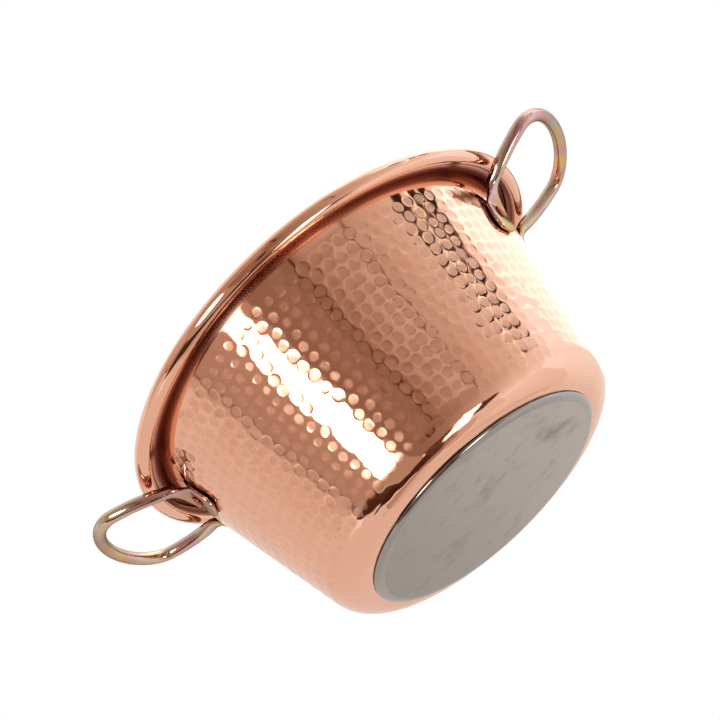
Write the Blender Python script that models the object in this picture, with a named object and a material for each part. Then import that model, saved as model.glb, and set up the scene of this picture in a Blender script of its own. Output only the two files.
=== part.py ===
"""Hammered copper polenta pot with an induction base and two riveted handles.

The pot stands on the XY plane with its axis on +Z. The handles lie on +X and -X.
Lengths are in metres and angles in radians. The pieces are the copper pot body, the
steel wire that its rim is rolled round, the base cap and its core, two bent handles
and the four rivets that hold them.
"""
import math

import bmesh
import bpy
from mathutils import Matrix, Vector
from mathutils.geometry import interpolate_bezier

MM = 0.001

# Shared clearance and facet counts
GAP = 0.3 * MM
TURN_STEPS = 72
SMOOTH_ANGLE = math.radians(35)
MERGE_DISTANCE = 0.01 * MM

# Copper pot body
POT_HEIGHT = 128.2 * MM
RIM_DIAMETER = 260.0 * MM
SHEET = 1.5 * MM
WALL_TAPER = math.radians(12.6)
CORNER_RADIUS = 17.5 * MM
CORNER_STEPS = 6

# Rolled rim: the sheet flares over an open channel and curls round a steel wire
WIRE_DIAMETER = 5.5 * MM
CHANNEL_WIDTH = 5.7 * MM
CHANNEL_RADIUS = 5.4 * MM
CHANNEL_STEPS = 4
CURL_SWEEP = math.radians(292.5)
CURL_STEPS = 13
WIRE_SIDES = 8

# Induction base: a pressed steel cap over an aluminium core
CAP_DIAMETER = 145.4 * MM
CAP_HEIGHT = 2.4 * MM
CAP_SHEET = 0.7 * MM
CAP_SHOULDER_WIDTH = 4.7 * MM
CAP_STEPS = 4

# Handles: round rod bent to a loop, its ends turned down and flattened on the wall
ROD_DIAMETER = 7.1 * MM
ROD_SIDES = 12
BEND_HEIGHT = 111.6 * MM
BEND_RADIUS = 9.5 * MM
BEND_STEPS = 5
LEG_HALF_SPACING = 31.8 * MM
LOOP_HALF_WIDTH = 41.1 * MM
LEG_LENGTH = 33.3 * MM
LOOP_REACH = 52.8 * MM
LOOP_TILT = math.radians(16.0)
LEG_STEPS = 4
LOOP_STEPS = 9
TAB_THICKNESS = 2.3 * MM
TAB_WIDTH = 18.0 * MM
TAB_LENGTH = 27.0 * MM
TAB_SPLAY = math.radians(9)
TAB_CORNER = 7.2 * MM
TAB_CORNER_STEPS = 5
NARROWING_START = 14.0 * MM
NARROWING_LENGTH = 12.0 * MM
SWELLING_LENGTH = 25.0 * MM
NARROWING_STEPS = 4

# Rivets: a domed head inside the pot and a low upset end on the tab
RIVET_SHANK = 4.6 * MM
RIVET_FROM_BEND = 15.0 * MM
RIVET_HEAD_DIAMETER = 9.5 * MM
RIVET_HEAD_HEIGHT = 2.2 * MM
RIVET_HEAD_STEPS = 3
RIVET_END_DIAMETER = 7.0 * MM
RIVET_END_HEIGHT = 1.6 * MM
RIVET_END_STEPS = 3
RIVET_SIDES = 16
CUT_OVERRUN = 2.0 * MM

# Sizes that follow from the ones above
RIM_RADIUS = RIM_DIAMETER / 2
WIRE_RADIUS = WIRE_DIAMETER / 2
CURL_INNER = WIRE_RADIUS + GAP
CURL_OUTER = CURL_INNER + SHEET
BEAD_RADIUS = RIM_RADIUS - CURL_OUTER
BEAD_HEIGHT = POT_HEIGHT - CURL_OUTER
LIP_UNDERSIDE = POT_HEIGHT - SHEET
COPPER_BOTTOM = CAP_HEIGHT + GAP
ROD_RADIUS = ROD_DIAMETER / 2
TAB_HALF_THICKNESS = TAB_THICKNESS / 2
TAB_HALF_WIDTH = TAB_WIDTH / 2

# How far a Bezier handle reaches along each half axis to draw a quarter ellipse
QUARTER_ELLIPSE_SHARE = 0.5523
# How far the leg's Bezier handles reach along the leg
LEG_HANDLE_SHARE = 0.4


class Wall:
    """The tapered wall: a straight line in the section between corner and channel."""

    rise = Vector((math.sin(WALL_TAPER), 0, math.cos(WALL_TAPER)))
    out = Vector((math.cos(WALL_TAPER), 0, -math.sin(WALL_TAPER)))
    top_height = LIP_UNDERSIDE - CHANNEL_RADIUS * (1 - math.sin(WALL_TAPER))
    top_radius = RIM_RADIUS - 2 * CURL_OUTER - CHANNEL_WIDTH

    @classmethod
    def radius_at(cls, height):
        """Outer radius of the copper at a height on the straight wall."""
        return cls.top_radius - (cls.top_height - height) * math.tan(WALL_TAPER)


def clear_scene():
    """Remove every object of the scene that the script starts in."""
    for item in list(bpy.data.objects):
        bpy.data.objects.remove(item, do_unlink=True)


def metal(name, colour, roughness):
    """A metal with one base colour and roughness."""
    material = bpy.data.materials.new(name)
    material.use_nodes = True
    shader = material.node_tree.nodes["Principled BSDF"]
    shader.inputs["Base Color"].default_value = (*colour, 1.0)
    shader.inputs["Metallic"].default_value = 1.0
    shader.inputs["Roughness"].default_value = roughness
    return material


def add_object(name, mesh, material=None):
    """Put a mesh into the scene under a name, smooth where its faces meet gently."""
    mesh.shade_smooth()
    mesh.set_sharp_from_angle(angle=SMOOTH_ANGLE)
    piece = bpy.data.objects.new(name, mesh)
    bpy.context.scene.collection.objects.link(piece)
    if material:
        mesh.materials.append(material)
    return piece


def arc(centre, radius_x, radius_z, start, end, steps):
    """Points of an elliptic arc in the section, from one angle to another."""
    points = []
    for index in range(steps + 1):
        angle = start + (end - start) * index / steps
        points.append((centre[0] + radius_x * math.cos(angle),
                       centre[1] + radius_z * math.sin(angle)))
    return points


def lathe(name, section, material=None, steps=TURN_STEPS):
    """Turn an open section, given as (radius, height) points from its top, about Z."""
    mesh = bpy.data.meshes.new(name)
    points = [(radius, 0, height) for radius, height in section]
    edges = [(index, index + 1) for index in range(len(points) - 1)]
    mesh.from_pydata(points, edges, [])
    piece = add_object(name, mesh, material)
    turn = piece.modifiers.new("turn", "SCREW")
    turn.axis = "Z"
    turn.angle = math.tau
    turn.steps = steps
    turn.render_steps = steps
    turn.use_merge_vertices = True
    turn.merge_threshold = MERGE_DISTANCE
    turn.use_smooth_shade = True
    return piece


def ring(name, centre_radius, centre_height, tube_radius, material):
    """A round ring of wire that lies level about Z."""
    mesh = bpy.data.meshes.new(name)
    work = bmesh.new()
    bmesh.ops.create_circle(work, cap_ends=False, segments=WIRE_SIDES, radius=tube_radius,
                            matrix=Matrix.Translation((centre_radius, 0, centre_height))
                            @ Matrix.Rotation(math.pi / 2, 4, "X"))
    bmesh.ops.spin(work, geom=work.verts[:] + work.edges[:], cent=(0, 0, 0), axis=(0, 0, 1),
                   angle=math.tau, steps=TURN_STEPS, use_merge=True)
    bmesh.ops.remove_doubles(work, verts=work.verts, dist=MERGE_DISTANCE)
    bmesh.ops.recalc_face_normals(work, faces=work.faces)
    work.to_mesh(mesh)
    work.free()
    return add_object(name, mesh, material)


def sheet_side(offset):
    """One side of the copper sheet in section, from the lip over the channel down.

    The offset is 0 for the outer side and the sheet's thickness for the inner side.
    """
    channel = CHANNEL_RADIUS + offset
    corner = CORNER_RADIUS - offset
    channel_centre = (Wall.top_radius + CHANNEL_RADIUS * math.cos(WALL_TAPER),
                      LIP_UNDERSIDE - CHANNEL_RADIUS)
    corner_height = COPPER_BOTTOM + CORNER_RADIUS
    corner_radius = (Wall.radius_at(corner_height) - CORNER_RADIUS / math.cos(WALL_TAPER))
    lip = arc(channel_centre, channel, channel, math.pi / 2, math.pi - WALL_TAPER,
              CHANNEL_STEPS)
    foot = arc((corner_radius, corner_height), corner, corner, -WALL_TAPER, -math.pi / 2,
               CORNER_STEPS)
    return lip + foot + [(0, COPPER_BOTTOM + offset)]


def curl_side(radius, steps):
    """One side of the curl, from the crown of the rim out, under and back in."""
    return arc((BEAD_RADIUS, BEAD_HEIGHT), radius, radius, math.pi / 2,
               math.pi / 2 - CURL_SWEEP, steps)


def build_pot_body(material):
    """The copper pot: bottom, corner, wall, channel, and the rim curled round its wire."""
    inner = list(reversed(sheet_side(SHEET)))
    outer = sheet_side(0)
    section = inner + curl_side(CURL_OUTER, CURL_STEPS)
    section += list(reversed(curl_side(CURL_INNER, CURL_STEPS))) + outer
    return lathe("pot_body", section, material)


def build_base(cap_material, core_material):
    """The steel cap with its rounded shoulder, and the aluminium core that it holds."""
    face_radius = CAP_DIAMETER / 2 - CAP_SHOULDER_WIDTH
    shoulder = (face_radius, CAP_HEIGHT)

    def shoulder_arc(inset):
        return arc(shoulder, CAP_SHOULDER_WIDTH - inset, CAP_HEIGHT - inset,
                   0, -math.pi / 2, CAP_STEPS)

    cap = [(0, CAP_SHEET)] + list(reversed(shoulder_arc(CAP_SHEET)))
    cap += shoulder_arc(0) + [(0, 0)]
    lathe("base_cap", cap, cap_material)
    core_inset = CAP_SHEET + GAP
    core = [(0, CAP_HEIGHT)] + shoulder_arc(core_inset) + [(0, core_inset)]
    lathe("base_core", core, core_material)


def eased_share(distance, length):
    """Share of a smooth change that is done at a distance along its length."""
    share = min(max(distance / length, 0), 1)
    return share * share * (3 - 2 * share)


class Handle:
    """Half of the handle on +X: from the tab on +Y, round the bend, to the apex."""

    def __init__(self):
        stand_off = GAP + ROD_RADIUS
        reach = Wall.radius_at(BEND_HEIGHT) + stand_off / math.cos(WALL_TAPER)
        bearing = math.asin(LEG_HALF_SPACING / reach)
        turned = Matrix.Rotation(bearing, 3, "Z")
        self.out = turned @ Wall.out
        # The tabs lie on the wall with their ends spread apart
        splayed = Matrix.Rotation(TAB_SPLAY, 3, self.out)
        self.rise = splayed @ turned @ Wall.rise
        self.across = splayed @ turned @ Vector((0, 1, 0))
        # Where the centre lines of the tab and the leg meet
        self.corner = Vector((reach * math.cos(bearing), LEG_HALF_SPACING, BEND_HEIGHT))
        # The point of the wall's outer surface behind that corner
        self.seat = self.corner - self.out * stand_off
        self.aim = self.in_loop(LOOP_HALF_WIDTH, LEG_LENGTH * (1 - LEG_HANDLE_SHARE))
        self.leaving = (self.aim - self.corner).normalized()
        bend = self.rise.rotation_difference(self.leaving)
        self.bend_axis, self.bend_angle = bend.to_axis_angle()
        self.setback = BEND_RADIUS * math.tan(self.bend_angle / 2)

    def in_loop(self, sideways, distance):
        """A point of the loop's plane: sideways along Y, distance out from the corners."""
        middle = Vector((self.corner.x, sideways, self.corner.z))
        return middle + Vector((math.cos(LOOP_TILT), 0, math.sin(LOOP_TILT))) * distance

    def loop_line(self):
        """Centre points from the bend to the apex: a spreading leg, then a half ellipse."""
        start = self.corner + self.leaving * self.setback
        widest = self.in_loop(LOOP_HALF_WIDTH, LEG_LENGTH)
        apex = self.in_loop(0, LOOP_REACH)
        round_length = LOOP_REACH - LEG_LENGTH
        first_handle = start + (self.aim - start) * LEG_HANDLE_SHARE
        side_handle = self.in_loop(LOOP_HALF_WIDTH,
                                   LEG_LENGTH + round_length * QUARTER_ELLIPSE_SHARE)
        apex_handle = self.in_loop(LOOP_HALF_WIDTH * QUARTER_ELLIPSE_SHARE, LOOP_REACH)
        leg = interpolate_bezier(start, first_handle, self.aim, widest, LEG_STEPS + 1)
        loop = interpolate_bezier(widest, side_handle, apex_handle, apex, LOOP_STEPS + 1)
        return leg + loop[1:]

    def flattened_ring(self, centre, across, out, along):
        """A ring at a distance up from the tab's end.

        The tab lies on the wall at its full width. Above the rivet it narrows to the
        rod's width and rises to the rod's centre line, and it swells more slowly.
        """
        beyond = along - NARROWING_START
        narrowed = eased_share(beyond, NARROWING_LENGTH)
        swollen = eased_share(beyond, SWELLING_LENGTH)
        wide = TAB_HALF_WIDTH + (ROD_RADIUS - TAB_HALF_WIDTH) * narrowed
        thick = TAB_HALF_THICKNESS + (ROD_RADIUS - TAB_HALF_THICKNESS) * swollen
        if along < TAB_CORNER:
            short = TAB_CORNER - along
            wide -= TAB_CORNER - math.sqrt(TAB_CORNER**2 - short**2)
        back = (ROD_RADIUS - TAB_HALF_THICKNESS) * (1 - narrowed)
        return (centre - out * back, across, out, wide, thick)

    def tab_rings(self):
        """Rings up the straight tab, close together where its corners are round."""
        stations = []
        for index in range(TAB_CORNER_STEPS + 1):
            stations.append(TAB_CORNER * (1 - math.cos(math.pi / 2 * index
                                                       / TAB_CORNER_STEPS)))
        straight = TAB_LENGTH - self.setback
        for index in range(NARROWING_STEPS):
            stations.append(NARROWING_START + (straight - NARROWING_START) * index
                            / NARROWING_STEPS)
        rings = []
        for along in stations:
            centre = self.corner + self.rise * (along - TAB_LENGTH)
            rings.append(self.flattened_ring(centre, self.across, self.out, along))
        return rings

    def bend_rings(self):
        """Rings round the bend, along which the section becomes nearly round."""
        inward = self.bend_axis.cross(self.rise)
        pivot = self.corner - self.rise * self.setback + inward * BEND_RADIUS
        rings = []
        for index in range(BEND_STEPS + 1):
            angle = self.bend_angle * index / BEND_STEPS
            turn = Matrix.Rotation(angle, 3, self.bend_axis)
            along = TAB_LENGTH - self.setback + BEND_RADIUS * angle
            rings.append(self.flattened_ring(pivot - turn @ (inward * BEND_RADIUS),
                                             turn @ self.across, turn @ self.out, along))
        return rings

    def loop_rings(self, across):
        """Round rings along the loop, each turned as little as the line allows."""
        rings = []
        line = self.loop_line()
        for index in range(1, len(line)):
            if index == len(line) - 1:
                tangent = Vector((0, -1, 0))
            else:
                tangent = (line[index + 1] - line[index - 1]).normalized()
            across = (across - tangent * across.dot(tangent)).normalized()
            rings.append((line[index], across, across.cross(tangent),
                          ROD_RADIUS, ROD_RADIUS))
        return rings

    def rings(self):
        """All rings of the half handle: centre, two axes and two half sizes of each."""
        start = self.tab_rings() + self.bend_rings()
        return start + self.loop_rings(start[-1][1])


def section_points(centre, across, out, wide, thick):
    """A flattened rod's section: two half rounds of its half thickness, set apart."""
    points = []
    for index in range(ROD_SIDES):
        angle = math.tau * (index + 0.5) / ROD_SIDES
        shift = math.copysign(wide - thick, math.cos(angle))
        points.append(centre + across * (shift + thick * math.cos(angle))
                      + out * (thick * math.sin(angle)))
    return points


def half_handle_mesh(handle):
    """Loft the rings of the half handle, closed at the tab and open at the apex."""
    mesh = bpy.data.meshes.new("handle_half")
    work = bmesh.new()
    loops = []
    for values in handle.rings():
        loops.append([work.verts.new(point) for point in section_points(*values)])
    for first, second in zip(loops, loops[1:]):
        for index in range(ROD_SIDES):
            after = (index + 1) % ROD_SIDES
            work.faces.new((first[index], first[after], second[after], second[index]))
    work.faces.new(list(reversed(loops[0])))
    bmesh.ops.recalc_face_normals(work, faces=work.faces)
    work.to_mesh(mesh)
    work.free()
    return mesh


def add_cut(piece, cutter):
    """Cut a closed cutter out of a piece."""
    cut = piece.modifiers.new("hole", "BOOLEAN")
    cut.operation = "DIFFERENCE"
    cut.solver = "EXACT"
    cut.object = cutter


def build_handle(name, turn, mesh, material, cutters):
    """One handle, turned about Z to its side of the pot, with its rivet holes."""
    piece = add_object(name, mesh.copy(), material)
    piece.data.name = name
    piece.rotation_euler = (0, 0, turn)
    mirror = piece.modifiers.new("other_leg", "MIRROR")
    mirror.use_axis = (False, True, False)
    mirror.use_mirror_merge = True
    mirror.merge_threshold = MERGE_DISTANCE
    for cutter in cutters:
        add_cut(piece, cutter)
    return piece


class Rivet:
    """Sizes along a rivet's axis, measured out from the wall's outer surface."""

    head_radius = RIVET_HEAD_DIAMETER / 2
    shank_radius = RIVET_SHANK / 2
    end_radius = RIVET_END_DIAMETER / 2
    end_seat = GAP + TAB_THICKNESS + GAP
    # The inner wall curves away from a flat head by this much at the head's edge
    hollow = head_radius**2 / (2 * (Wall.radius_at(BEND_HEIGHT) - SHEET))
    head_seat = -(SHEET + GAP + hollow)


def build_rivet(name, placing, material):
    """One rivet: its end upset on the tab, its shank, and its head inside the pot."""
    end = arc((0, Rivet.end_seat), Rivet.end_radius, RIVET_END_HEIGHT, math.pi / 2, 0,
              RIVET_END_STEPS)
    head = arc((0, Rivet.head_seat), Rivet.head_radius, RIVET_HEAD_HEIGHT, 0, -math.pi / 2,
               RIVET_HEAD_STEPS)
    shank = [(Rivet.shank_radius, Rivet.end_seat), (Rivet.shank_radius, Rivet.head_seat)]
    piece = lathe(name, end + shank + head, material, RIVET_SIDES)
    piece.matrix_world = placing
    return piece


def build_rivet_cutter(name, placing):
    """The hole through tab and wall, a clearance wider than the shank."""
    outer_end = Rivet.end_seat + CUT_OVERRUN
    inner_end = Rivet.head_seat - CUT_OVERRUN
    radius = Rivet.shank_radius + GAP
    section = [(0, outer_end), (radius, outer_end), (radius, inner_end), (0, inner_end)]
    cutter = lathe(name, section, None, RIVET_SIDES)
    cutter.matrix_world = placing
    cutter.hide_render = True
    cutter.display_type = "WIRE"
    return cutter


def rivet_placing(handle, turn, side):
    """Place a rivet's axis along the wall's normal in the middle of a tab."""
    centre = handle.seat - handle.rise * RIVET_FROM_BEND
    frame = Matrix((handle.across.cross(handle.out), handle.across, handle.out)).transposed()
    placing = Matrix.Translation(centre) @ frame.to_4x4()
    if side < 0:
        mirror = Matrix.Scale(-1, 4, (0, 1, 0))
        # Mirroring the place and one axis of the rivet keeps it a turned, unmirrored copy
        placing = mirror @ placing @ mirror
    return Matrix.Rotation(turn, 4, "Z") @ placing


def main():
    """Build the pot's pieces."""
    clear_scene()
    copper = metal("polished_copper", (0.86, 0.47, 0.32), 0.12)
    build_pot_body(copper)
    ring("rim_wire", BEAD_RADIUS, BEAD_HEIGHT, WIRE_RADIUS,
         metal("wire_steel", (0.45, 0.45, 0.46), 0.45))
    build_base(metal("brushed_steel", (0.62, 0.60, 0.58), 0.35),
               metal("plain_aluminium", (0.80, 0.80, 0.80), 0.4))
    handle = Handle()
    half = half_handle_mesh(handle)
    body = bpy.data.objects["pot_body"]
    for side_name, turn in (("right", 0), ("left", math.pi)):
        cutters = []
        for end_name, side in (("rear", 1), ("front", -1)):
            placing = rivet_placing(handle, turn, side)
            # Turned half way round, the tab on +Y comes to lie on -Y
            if turn:
                end_name = "front" if side > 0 else "rear"
            name = f"{side_name}_{end_name}"
            build_rivet(f"rivet_{name}", placing,
                        metal(f"rivet_copper_{name}", (0.80, 0.42, 0.28), 0.25))
            cutters.append(build_rivet_cutter(f"hole_{name}", placing))
        build_handle(f"handle_{side_name}", turn, half,
                     metal(f"zinc_plated_steel_{side_name}", (0.62, 0.55, 0.47), 0.28),
                     cutters)
        for cutter in cutters:
            add_cut(body, cutter)


main()
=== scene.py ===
"""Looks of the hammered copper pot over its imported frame.

The pot's own pieces are turned or lofted from the same sizes as its CAD model, with
the hammer marks as true relief. The studio is a white room with soft lamps and grey
screens, which the polished copper shows.
"""

import logging
import math
from dataclasses import dataclass
from enum import Enum

import bpy
import numpy as np
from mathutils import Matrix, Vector


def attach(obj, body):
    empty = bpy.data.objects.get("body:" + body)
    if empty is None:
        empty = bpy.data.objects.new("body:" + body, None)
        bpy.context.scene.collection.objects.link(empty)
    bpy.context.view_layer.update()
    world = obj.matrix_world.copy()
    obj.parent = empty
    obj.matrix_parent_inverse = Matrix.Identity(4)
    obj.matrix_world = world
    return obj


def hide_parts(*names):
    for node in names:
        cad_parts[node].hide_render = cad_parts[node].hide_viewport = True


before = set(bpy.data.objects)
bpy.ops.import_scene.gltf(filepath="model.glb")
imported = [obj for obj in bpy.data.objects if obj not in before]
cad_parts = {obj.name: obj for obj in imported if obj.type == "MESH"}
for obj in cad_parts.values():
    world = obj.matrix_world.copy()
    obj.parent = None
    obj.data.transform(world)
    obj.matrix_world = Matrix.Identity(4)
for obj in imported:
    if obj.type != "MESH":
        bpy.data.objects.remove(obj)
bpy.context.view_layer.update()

MM = 0.001
SHARP_ANGLE = math.radians(40)
POINT_SIZE = 1e-6 * MM

Colour = tuple[float, float, float]
Socket = bpy.types.NodeSocket

log = logging.getLogger("pot")


class Side(Enum):
    """The side of the pot that a handle is on, as the sign of its X."""

    RIGHT = 1
    LEFT = -1


class End(Enum):
    """Which tab of a handle, as the sign of its Y."""

    REAR = 1
    FRONT = -1


# Curves


def arc(centre: tuple[float, float], radii: tuple[float, float], start: float,
        end: float, steps: int) -> np.ndarray:
    """Points of an elliptic arc: centre plus half axes times cosine and sine.

    Args:
        centre: radius and height of the centre.
        radii: half axes along radius and height.
        start: first angle in radians.
        end: last angle in radians.
        steps: number of chords.

    Returns:
        Radius and height of each point.
    """
    angle = np.linspace(start, end, steps + 1)
    return np.stack([centre[0] + radii[0] * np.cos(angle),
                     centre[1] + radii[1] * np.sin(angle)], axis=-1)


def line(start: np.ndarray, end: np.ndarray, spacing: float) -> np.ndarray:
    """Evenly spaced points strictly between two points of a section.

    Args:
        start: radius and height of the first point, which is left out.
        end: radius and height of the last point, which is left out.
        spacing: the distance that the points keep, to the nearest whole number of steps.

    Returns:
        Radius and height of each point.
    """
    steps = max(int(round(float(np.linalg.norm(end - start)) / spacing)), 1)
    share = np.arange(1, steps)[:, None] / steps
    return start + (end - start) * share


def bezier(points: list[np.ndarray], steps: int) -> np.ndarray:
    """Points of a cubic Bezier curve: the four points weighted by binomial shares.

    Args:
        points: the two ends with the two handles between them.
        steps: number of chords.

    Returns:
        The curve's points.
    """
    share = np.linspace(0, 1, steps + 1)[:, None]
    rest = 1 - share
    return (points[0] * rest**3 + points[1] * 3 * share * rest**2
            + points[2] * 3 * share**2 * rest + points[3] * share**3)


def eased(distance: np.ndarray, length: float) -> np.ndarray:
    """Smooth step from 0 to 1 over a length: 3 s squared less 2 s cubed."""
    share = np.clip(distance / length, 0, 1)
    return share * share * (3 - 2 * share)


def unit(vector: np.ndarray) -> np.ndarray:
    """The vector at length one."""
    return vector / np.linalg.norm(vector, axis=-1, keepdims=True)


def turned(vector: np.ndarray, axis: np.ndarray, angle: float | np.ndarray) -> np.ndarray:
    """Turn a vector about an axis: its part along the axis stays, the rest is turned.

    Args:
        vector: the vector to turn.
        axis: the axis at length one.
        angle: one angle or several, in radians.

    Returns:
        The turned vector, or one for each angle.
    """
    angle = np.asarray(angle)[..., None]
    along = axis * np.dot(axis, vector)
    return (along + (vector - along) * np.cos(angle)
            + np.cross(axis, vector) * np.sin(angle))


# Meshes


def round_angles(columns: int) -> np.ndarray:
    """Angles of a full turn's columns, from -X round to just before it."""
    return np.linspace(-math.pi, math.pi, columns, endpoint=False)


def turned_grid(section: np.ndarray, columns: int) -> np.ndarray:
    """Turn a section about Z: radius times cosine and sine of the angle, and height.

    Args:
        section: radius and height of each point.
        columns: number of steps of the turn.

    Returns:
        Points as rows, columns and coordinates.
    """
    angle = round_angles(columns)
    radius = section[:, 0][:, None]
    height = np.broadcast_to(section[:, 1][:, None], (len(section), columns))
    return np.stack([radius * np.cos(angle), radius * np.sin(angle), height], axis=-1)


def ring_quads(rows: int, columns: int, closed_along: bool) -> np.ndarray:
    """Quads between neighbouring rows of a grid whose columns wrap round.

    Args:
        rows: number of rows of points.
        columns: number of points in a row.
        closed_along: whether the last row joins the first.

    Returns:
        Corner indices, one quad a line.
    """
    row = np.arange(rows if closed_along else rows - 1)[:, None]
    column = np.arange(columns)[None, :]
    beside = (column + 1) % columns
    above = (row + 1) % rows
    corners = [row * columns + column, row * columns + beside,
               above * columns + beside, above * columns + column]
    return np.stack(corners, axis=-1).reshape(-1, 4)


def is_point(row: np.ndarray) -> bool:
    """Whether all points of a row lie on one spot."""
    return bool(np.ptp(row, axis=0).max() < POINT_SIZE)


def skin_mesh(name: str, grid: np.ndarray, closed_along: bool = False,
              satin: np.ndarray | None = None) -> bpy.types.Mesh:
    """Mesh over a grid of points, with each end row that is one point closed by a fan.

    Args:
        name: name of the mesh.
        grid: points as rows, columns and coordinates.
        closed_along: whether the last row joins the first.
        satin: how satin the surface is at each point, stored for the finish.

    Returns:
        The smooth-shaded mesh, with its steep edges sharp.
    """
    rows, columns = grid.shape[:2]
    start_pole = not closed_along and is_point(grid[0])
    end_pole = not closed_along and is_point(grid[-1])
    kept = slice(int(start_pole), rows - int(end_pole))
    body = grid[kept]
    points = body.reshape(-1, 3)
    faces = ring_quads(len(body), columns, closed_along).tolist()
    column = np.arange(columns)
    beside = (column + 1) % columns
    if start_pole:
        tip = np.full(columns, len(points))
        points = np.vstack([points, grid[0, :1]])
        faces += np.stack([tip, beside, column], axis=-1).tolist()
    if end_pole:
        tip = np.full(columns, len(points))
        points = np.vstack([points, grid[-1, :1]])
        last = (len(body) - 1) * columns
        faces += np.stack([last + column, last + beside, tip], axis=-1).tolist()
    mesh = bpy.data.meshes.new(name)
    mesh.from_pydata(points.tolist(), [], faces)
    mesh.shade_smooth()
    mesh.set_sharp_from_angle(angle=SHARP_ANGLE)
    if satin is not None:
        values = np.zeros(len(points))
        values[:len(body) * columns] = satin[kept].ravel()
        mesh.attributes.new("satin", "FLOAT", "POINT").data.foreach_set("value", values)
    return mesh


def facing_out(mesh: bpy.types.Mesh) -> None:
    """Turn a closed mesh's faces outward if the volume that they enclose is negative.

    Args:
        mesh: the closed mesh.
    """
    places = np.empty(len(mesh.vertices) * 3)
    mesh.vertices.foreach_get("co", places)
    mesh.calc_loop_triangles()
    corners = np.empty(len(mesh.loop_triangles) * 3, dtype=int)
    mesh.loop_triangles.foreach_get("vertices", corners)
    triangles = places.reshape(-1, 3)[corners.reshape(-1, 3)]
    first, second, third = triangles.transpose(1, 0, 2)
    if np.sum(first * np.cross(second, third)) < 0:
        mesh.flip_normals()


def put_in_scene(name: str, data: bpy.types.ID) -> bpy.types.Object:
    """Make an object and put it into the scene.

    Args:
        name: the object's name.
        data: its mesh, lamp or camera.

    Returns:
        The new object.
    """
    made = bpy.data.objects.new(name, data)
    bpy.context.scene.collection.objects.link(made)
    return made


def add_piece(name: str, mesh: bpy.types.Mesh, material: bpy.types.Material,
              slot: str, *nodes: str) -> None:
    """Put a mesh into the scene as a piece that stands for CAD nodes.

    Args:
        name: the piece's name.
        mesh: its finished mesh, in place.
        material: its finish.
        slot: not used.
        nodes: the CAD nodes that it replaces.
    """
    mesh.materials.append(material)
    piece = put_in_scene(name, mesh)
    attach(piece, "root")
    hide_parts(*nodes)
    log.info("%s: %d faces", name, len(mesh.polygons))


# Shape of the copper pot and its base


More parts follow.
